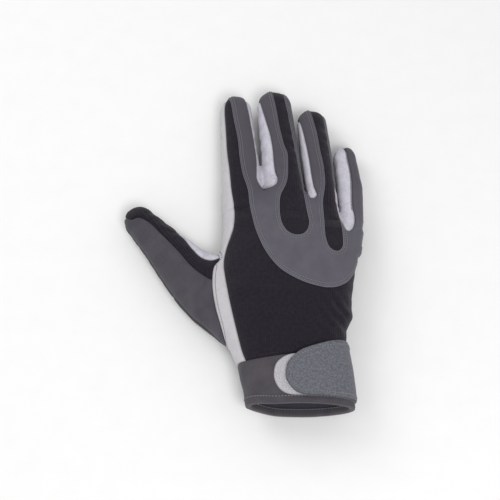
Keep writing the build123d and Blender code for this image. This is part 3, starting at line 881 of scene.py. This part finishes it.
def material(name, colour, second, rough, build):
    """A material from a function that makes a mix of the two colours and a height."""
    made = bpy.data.materials.new(name)
    made.use_nodes = True
    made.node_tree.nodes.clear()
    make = Nodes(made.node_tree)
    cloth = make.node("ShaderNodeAttribute", attribute_name="cloth")
    parts = make.node("ShaderNodeSeparateXYZ", {0: cloth.outputs["Vector"]})
    make.x, make.y, make.d = parts.outputs
    make.flat = make.node("ShaderNodeCombineXYZ", {0: make.x, 1: make.y}).outputs[0]
    share, height, depth = build(make)
    mix = make.node("ShaderNodeMix", {"Factor": share, 6: (*colour, 1), 7: (*second, 1)},
                    data_type="RGBA", clamp_factor=False)
    # painted shade: the colour is darkened near the seams, where the cloth dips into shade
    painted_seam_shade = make.ramp(make.d, 0, 0.9, 0.55)
    shade = make.node("ShaderNodeMix", {"Factor": 1, 6: mix.outputs[2], 7: painted_seam_shade},
                      data_type="RGBA", blend_type="MULTIPLY")
    bump = make.node("ShaderNodeBump",
                     {"Strength": 1, "Distance": depth * MM, "Height": height})
    surface = make.node("ShaderNodeBsdfPrincipled",
                        {"Roughness": rough, "Specular IOR Level": 0.25, "Sheen Weight": 0.12,
                         "Sheen Roughness": 0.5, "Base Color": shade.outputs[2],
                         "Normal": bump.outputs[0]})
    make.node("ShaderNodeOutputMaterial", {0: surface.outputs[0]})
    return made


def suede_look(make):
    nap = make.noise(0.7, 4)
    mottle = make.noise(9, stretch=0.7)
    return make.ramp(make.total(nap, 0.6, mottle, 0.7), 0.45, 0.85), nap, 0.22


def cut_edge_look(make):
    """Suede whose cut edge shows a little lighter, with painted shade that darkens it towards the
    fingertips.
    """
    edge = make.node("ShaderNodeAttribute", attribute_name="edge")
    share, height, depth = suede_look(make)
    pale = make.ramp(edge.outputs["Fac"], 0.05, 0.55, 1.6, 0)
    even = make.math("ADD", make.math("MULTIPLY", share, 0.4), 0.4)
    # painted shade: the suede darkens towards the fingertips, standing for the light falling off
    # there
    painted_tip_shade = make.math("MULTIPLY", even, make.ramp(make.y, 130, 180, 1, 0.2))
    return make.math("ADD", painted_tip_shade, pale), height, depth


def knit_look(make):
    """Ribs along the finger, each a chain of small loops."""
    rib = make.math("ABSOLUTE", make.waves(make.x, 2))
    leaning = make.math("ADD", make.y, make.math("MULTIPLY", rib, 0.5))
    loops = make.math("ABSOLUTE", make.waves(leaning, 1.8))
    height = make.total(rib, 0.7, loops, 0.5)
    lint = make.noise(2.2, 4)
    share = make.math("MULTIPLY", make.ramp(height, 0.3, 1.1), make.ramp(lint, 0.3, 0.7, 0.4))
    return share, height, 0.30


def leather_look(make):
    grain = make.cells(1.1, "SMOOTH_F1")
    fine = make.noise(0.8)
    mottle = make.noise(7)
    height = make.total(grain, 0.8, fine, 0.4)
    return make.ramp(make.total(mottle, 0.7, grain, 0.35), 0.3, 0.9), height, 0.14


def weave_look(make):
    crossing = make.math("MULTIPLY", make.waves(make.x, 1.5), make.waves(make.y, 1.5))
    height = make.math("MULTIPLY", make.math("ADD", crossing, 1), 0.5)
    share = make.math("MULTIPLY", height, make.ramp(make.noise(3), 0.25, 0.75, 0.3))
    return share, height, 0.16


def felt_look(make):
    fibres = make.noise(0.55, 5, 0.6)
    clumps = make.noise(1.9, 4)
    return make.ramp(make.total(fibres, 0.8, clumps, 0.4), 0.44, 0.78), fibres, 0.30


def loop_look(make):
    tufts = make.cells(0.8)
    return make.ramp(tufts, 0.15, 0.65), make.math("SUBTRACT", 1, tufts), 0.5


def thread_look(make):
    twist = make.waves(make.math("ADD", make.x, make.y), 0.6)
    return make.ramp(twist, -1, 1), twist, 0.05


SUEDE = material("suede", (0.078, 0.072, 0.088), (0.128, 0.121, 0.148), 0.88, cut_edge_look)
PALM_SUEDE = material("palm_suede", (0.03, 0.028, 0.033), (0.044, 0.041, 0.048), 0.85,
                      suede_look)
# painted shade: a darker copy of the suede, standing for the shade on the thumb
SHADED_THUMB_SUEDE = material("thumb_suede_painted_shade", (0.058, 0.054, 0.066), (0.08, 0.075, 0.089), 0.85,
                       suede_look)
KNIT = material("knit", (0.005, 0.0035, 0.0075), (0.024, 0.017, 0.031), 0.9, knit_look)
WHITE = material("light_leather", (0.615, 0.6, 0.67), (0.42, 0.405, 0.47), 0.6,
                 leather_look)
GREY = material("strip_leather", (0.56, 0.545, 0.57), (0.48, 0.465, 0.49), 0.6,
                leather_look)
CUFF = material("cuff_fabric", (0.06, 0.054, 0.064), (0.084, 0.076, 0.088), 0.88, suede_look)
LINING = material("lining", (0.045, 0.045, 0.062), (0.08, 0.08, 0.105), 0.92, weave_look)
FELT = material("felt_strap", (0.088, 0.09, 0.106), (0.19, 0.196, 0.226), 0.95, felt_look)
LOOP = material("loop", (0.64, 0.62, 0.655), (0.46, 0.445, 0.47), 0.9, loop_look)
HOOK = material("hook", (0.03, 0.03, 0.033), (0.012, 0.012, 0.014), 0.5, loop_look)
THREAD = material("thread", (0.46, 0.46, 0.49), (0.34, 0.34, 0.37), 0.7, thread_look)
GREY_THREAD = material("grey_thread", (0.34, 0.34, 0.36), (0.24, 0.24, 0.26), 0.7, thread_look)
DARK_THREAD = material("dark_thread", (0.05, 0.045, 0.055), (0.02, 0.018, 0.022), 0.7,
                       thread_look)


# --- the sewn panels ---

# a panel's look, and the CAD nodes that it stands for on the hand and on a part of a finger
ROLES = {"palm": (PALM_SUEDE, "palm_panel", "palm"),
         "thumb_palm": (PALM_SUEDE, "palm_panel", "palm"),
         "patch": (PALM_SUEDE, "palm_patch", "side_walls"),
         "overlay": (SUEDE, "knuckle_overlay", "overlay"),
         "thumb_leather": (SHADED_THUMB_SUEDE, "thumb_root_leather", "leather"),
         "thumb_knit": (KNIT, "thumb_root_knit", "knit"),
         "knit": (KNIT, "back_panel", "back_knit"),
         "window_middle": (KNIT, "knuckle_knit_windows", "back_knit"),
         "window_ring": (KNIT, "knuckle_knit_windows", "back_knit"),
         "cuff": (CUFF, "cuff_band", "side_walls"),
         "strip": (GREY, "side_strip", "side_walls"),
         "web": (WHITE, "web_gusset", "side_walls")}
LIGHT = (WHITE, "crotch_gussets", "side_walls")     # the rest of the panels


def write_panel(name):
    """Writes one object for each part of the glove that a panel crosses."""
    look, hand_node, finger_node = ROLES.get(name, LIGHT)
    piece = make_piece(skin, name)
    for part in np.unique(piece.part):
        obj = write_part(piece, piece.part == part, f"{name}_{part_name(part)}", look)
        attach(obj, part)
        node = f"{part_name(part)}_{finger_node}" if part else hand_node
        stands_for = [node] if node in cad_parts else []
        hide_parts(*stands_for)
    return piece


def beside(name, gap, *others):
    """Lines on a panel at some distance from its seam with some other panels."""
    piece = pieces[name]
    seam = piece.edges[np.isin(piece.beside, others)]
    return iso_lines(piece, gap_to(piece.base, seam, skin.p), gap)


skin = make_skin()
pieces = {name: write_panel(name) for name in PANELS[2:]}
for row, gap in enumerate((1.3, 2.8)):
    sew(f"overlay_stitches_{row}", beside("overlay", gap, *OVER["overlay"]), THREAD, "suede")
sew("strip_stitches", beside("strip", 2.4, "palm", "thumb_leather", "thumb_knit", "web"),
    GREY_THREAD, "light_leather", pitch=1.6)
sew("little_wall_stitches", beside("gusset_little", 0.8, "overlay"), DARK_THREAD,
    "light_leather", pitch=1.15, length=0.9,
    only=lambda p: (LITTLE.local(p)[1] > -3) & (LITTLE.local(p)[0] > 6))
sew("crotch_stitches", beside("gusset_index", 1.1, "overlay"), GREY_THREAD, "light_leather",
    pitch=1.5, length=0.9, thread=0.2, only=lambda p: (p[:, 1] < 170) & (p[:, 0] > -23))
sew("cuff_stitches", beside("knit", 1.8, "cuff"), DARK_THREAD, "knit")
sew("patch_stitches", beside("patch", 1.6, *OVER["patch"]), GREY_THREAD, "suede")


# --- cuff, hem and strap ---

def ring_table(y, count=481):
    """The cuff's section at a height: arc length from above, x, z and the outward normal."""
    left, right, middle, half, power = trunk_section(y)
    turn = math.pi / 2 - np.linspace(-math.pi, math.pi, count)
    c, s, wide = np.cos(turn), np.sin(turn), (right - left) / 2
    x = wide * np.sign(c) * np.abs(c) ** (2 / power)
    z = half * np.sign(s) * np.abs(s) ** (2 / power)
    n = unit(np.stack([np.sign(x) * np.abs(x / wide) ** (power - 1) / wide,
                       np.sign(z) * np.abs(z / half) ** (power - 1) / half], 1))
    x, z = x + (left + right) / 2, z + middle
    length = np.concatenate([[0], np.cumsum(np.hypot(np.diff(x), np.diff(z)))])
    return np.stack([length - length[count // 2] + (left + right) / 2, x, z, n[:, 0], n[:, 1]])


ROWS = np.arange(-3.0, 64.0)
TABLE = [ring_table(y) for y in ROWS]


def wrap(w, y, lift):
    """Points a lift off the cuff, w round it from above and y along it."""
    w, y, lift = np.broadcast_arrays(w, y, lift)
    p, n = np.empty((len(w), 3)), np.zeros((len(w), 3))
    row = np.clip((y - ROWS[0]).astype(int), 0, len(ROWS) - 2)
    for k in np.unique(row):
        own = row == k
        low, high = (np.stack([np.interp(w[own], table[0], line) for line in table[1:]], 1)
                     for table in TABLE[k:k + 2])
        mix = low + (high - low) * (y[own] - ROWS[k])[:, None]
        p[own] = np.stack([mix[:, 0], y[own], mix[:, 1]], 1)
        n[own, 0], n[own, 2] = mix[:, 2], mix[:, 3]
    return p + unit(n) * lift[:, None]


def lay(name, outline, under, thick, look, nodes, hold, step=1.1):
    """A piece cut from flat cloth and laid round the cuff. Under holds some w and the heights
    of its underside there."""
    line = np.array(outline)
    low, high = line.min(0) - 2 * step, line.max(0) + 2 * step
    xs, ys = (np.arange(low[k], high[k], step) for k in range(2))
    grid = np.stack(np.meshgrid(xs, ys, [0.0], indexing="ij"), -1).reshape(-1, 3)
    i, j = np.meshgrid(np.arange(len(xs) - 1), np.arange(len(ys) - 1), indexing="ij")
    a = (i * len(ys) + j).ravel()
    b, c, d = a + len(ys), a + len(ys) + 1, a + 1
    cloth = Skin(grid, np.concatenate([np.stack([a, b, c], 1), np.stack([a, c, d], 1)]))
    kept = cloth.cut(np.ones(len(cloth.t), bool), inside(outline))
    used, local = np.unique(cloth.t[kept], return_inverse=True)
    flat = cloth.p[used]
    piece = Piece()
    piece.t = local.reshape(-1, 3)
    piece.rim = borders(piece.t)
    piece.across, piece.along = flat[:, 0], flat[:, 1]
    piece.seam = piece.edge = -inside(outline)(flat)
    bottom = np.interp(flat[:, 0], *under)
    top = bottom + thick * (1 - 0.4 * np.exp(-piece.seam / 0.5)) + 0.12 * ripple(flat, 16, 21)
    piece.p, piece.inner = (wrap(piece.across, piece.along, lift) for lift in (top, bottom))
    piece.n = vertex_normals(piece.p, piece.t)
    obj = write_part(piece, slice(None), name, look)
    hold(obj)
    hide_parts(*nodes)
    return piece, obj


PEEL = np.array([35.244, 24, 14.036])       # on the line that the strap peels about


def around_at_height(z):
    """How far round the cuff its edge on the little-finger side has a height z."""
    w = np.linspace(25, 80, 551)
    return float(np.interp(-z, -wrap(w, PEEL[1], 3.3)[:, 2], w))


def around(x, y):
    """How far round the cuff a point is that lies at x in the top view, and its y."""
    w = np.linspace(0, 45, 226)
    return float(np.interp(x, wrap(w, y, 4)[:, 0], w)), y


PEEL_W, ANCHOR_W = around_at_height(PEEL[2]), around_at_height(-14)

# outlines laid flat: w round the cuff and y along it
STRAP = [(-10.5, 20.7), (-9.3, 27.6), (-5.6, 32.7), (-0.8, 37), (6, 39.9), (13, 42.4),
         around(23.8, 45.5), around(33, 46.8), (PEEL_W + 6, 46), (ANCHOR_W - 2, 44.5),
         (ANCHOR_W, 42), (ANCHOR_W, 8), (ANCHOR_W - 2, 5.6), (PEEL_W + 6, 5.2), (PEEL_W - 8, 5.3),
         (16, 5.4), (1.5, 6), (-3.9, 8.2), (-8.2, 12.8), (-10.2, 17)]
LOOP_PATCH = [(-18.7, 21.5), (-17.3, 27.8), (-13, 32.2), (-6.9, 34.8), (4, 35.6), (13, 35),
              (14, 33), (14, 8), (13, 6.2), (1.5, 6), (-9.3, 6.8), (-14.7, 10.3), (-18, 16)]
HOOK_PAD = [(-7, 18), (-6, 26), (-1, 30.5), (6, 32), (12, 31), (13, 29), (13, 12), (12, 9.8),
            (3, 9.5), (-3.5, 11.5)]


def peeling(obj):
    """Bakes the placement into the mesh."""
    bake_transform(obj)


def on_hand(obj):
    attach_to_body(obj, "hand")


# undersides, as heights over the cuff at some w, and thicknesses
STRAP_UNDER = [13, 24, ANCHOR_W], [2.37, 0.9, 0.6]
LOOP_UNDER, HOOK_UNDER = ([0], [0.35]), ([0], [1.45])
STRAP_THICK, LOOP_THICK, HOOK_THICK = 1.8, 1.0, 0.8

strap, felt = lay("strap_cloth", STRAP, STRAP_UNDER, STRAP_THICK, FELT,
                  ["strap", "strap_anchor"], peeling)
lay("loop_patch_cloth", LOOP_PATCH, LOOP_UNDER, LOOP_THICK, LOOP, ["loop_patch"],
    on_hand)
lay("hook_pad_cloth", HOOK_PAD, HOOK_UNDER, HOOK_THICK, HOOK, ["strap_hook_pad"],
    lambda obj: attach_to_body(obj, "strap"))
sew("strap_stitches", iso_lines(strap, strap.seam, 3), THREAD, "felt_strap", pitch=2.1,
    length=1.35, thread=0.42, hold=peeling)


def ring_at(lift, height, count=481):
    """A line round the cuff, level with its edge: points, normals, and length from above."""
    w, x, z, nx, nz = ring_table(height, count)
    x, z = x + nx * lift, z + nz * lift
    return np.stack([x, height + mouth_edge(x, z), z], 1), np.stack([nx, 0 * x, nz], 1), w


def tube(name, profile, look, node, soft=0, count=240):
    """A closed section of (lift, height) points swept round the cuff."""
    rings = [ring_at(lift, height, count + 1) for lift, height in profile]
    points = np.concatenate([p[:-1] for p, _, _ in rings])
    mirrored = np.concatenate([np.abs(w - w[count // 2])[:-1] for _, _, w in rings])
    out = unit(points * (1, 0, 4))
    points += out * (soft * ripple(points, 15, 31))[:, None]
    faces = []
    for k in range(len(profile)):
        for m in range(count):
            a, b = k * count + m, k * count + (m + 1) % count
            c = ((k + 1) % len(profile)) * count
            faces.append((a, b, c + (m + 1) % count, c + m))
    cloth = np.stack([mirrored, np.repeat(run_length(profile), count)], 1)
    obj = new_object(name, points, faces, look, cloth=cloth, seam=FAR)
    on_hand(obj)
    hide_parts(node)


# lift and height round the section of the hem
HEM = [(0.1, 5.7), (0.62, 5.4), (0.78, 4.6), (0.82, 3), (0.78, 1.4), (0.45, 0.5), (-0.2, 0.05),
       (-1.3, -0.15), (-2.4, 0.05), (-3.2, 0.5), (-3.55, 1.4), (-3.6, 3), (-3.55, 4.6),
       (-3.4, 5.4), (-3, 5.7), (-2.95, 1.2), (-1.4, 0.6), (0, 1.2)]
tube("hem_cloth", HEM, CUFF, "hem_binding")
LINING_OUT, LINING_IN = -2.1, -2.85         # lifts of the lining's two sides
depths = np.linspace(1.4, 58, 30)
tube("lining_cloth", [(LINING_OUT, y) for y in depths] + [(LINING_IN, y) for y in depths[::-1]],
     LINING, "cuff_lining", soft=0.15)
HEM_ROW = 4.5                               # height of the hem's stitches
outer, inner = ring_at(0.80, HEM_ROW), ring_at(-3.57, HEM_ROW)
sew("hem_stitches", [outer[:2], (inner[0], -inner[1])], THREAD, "cuff_fabric", pitch=2.2,
    length=1.5, thread=0.34, hold=on_hand)


# --- camera and light ---

def area_light(name, place, aim, size, power):
    """A round lamp that faces a point, in metres."""
    lamp = bpy.data.lights.new(name, "AREA")
    lamp.shape, lamp.size, lamp.energy = "DISK", size, power
    obj = bpy.data.objects.new(name, lamp)
    obj.location = place
    obj.rotation_euler = (Vector(aim) - Vector(place)).to_track_quat("-Z", "Y").to_euler()
    bpy.context.scene.collection.objects.link(obj)


FLOOR, WIDE = -22.6, 3000.0         # z and half width of the sheet that the glove lies on
EYE, TILT = (-35, -190.8, 845.7), math.radians(20)
LENS, SENSOR = 90, 36
SKY = 0.62                          # strength of the white light from all round
PAPER = 0.93, 0.97                  # darkest and palest grey of the sheet
# place, the point it faces, diameter and power of each lamp
LAMPS = {"key": ((0.25, -0.55, 1.05), (-0.02, 0.06, 0), 0.5, 5.6),
         "fill": ((-0.7, 0.6, 0.8), (0, 0.11, 0), 0.7, 2.9)}


def studio():
    """The camera, soft lights and a pale sheet of paper under the glove."""
    scene = bpy.context.scene
    camera_data = bpy.data.cameras.new("camera")
    camera_data.lens, camera_data.sensor_width = LENS, SENSOR
    camera = bpy.data.objects.new("camera", camera_data)
    camera.location = Vector(EYE) * MM
    camera.rotation_euler = (TILT, 0, 0)
    scene.collection.objects.link(camera)
    scene.camera = camera
    scene.view_settings.view_transform = "Standard"
    world = bpy.data.worlds.new("world")
    world.use_nodes = True
    sky = world.node_tree.nodes["Background"].inputs
    sky[0].default_value, sky[1].default_value = (1, 1, 1, 1), SKY
    scene.world = world
    for name, lamp in LAMPS.items():
        area_light(name, *lamp)
    paper = bpy.data.materials.new("paper")
    paper.use_nodes = True
    surface = paper.node_tree.nodes["Principled BSDF"]
    make = Nodes(paper.node_tree)
    grain = make.node("ShaderNodeTexNoise", {"Scale": 400})
    tone = make.node("ShaderNodeMapRange", {0: grain.outputs[0], 3: PAPER[0], 4: PAPER[1]})
    make.tree.links.new(tone.outputs[0], surface.inputs["Base Color"])
    surface.inputs["Roughness"].default_value = 0.9
    floor = new_object("floor", [(x, y, FLOOR) for x, y in ((-WIDE, -WIDE), (WIDE, -WIDE),
                                                            (WIDE, WIDE), (-WIDE, WIDE))],
                       [(0, 1, 2, 3)], paper)


studio()
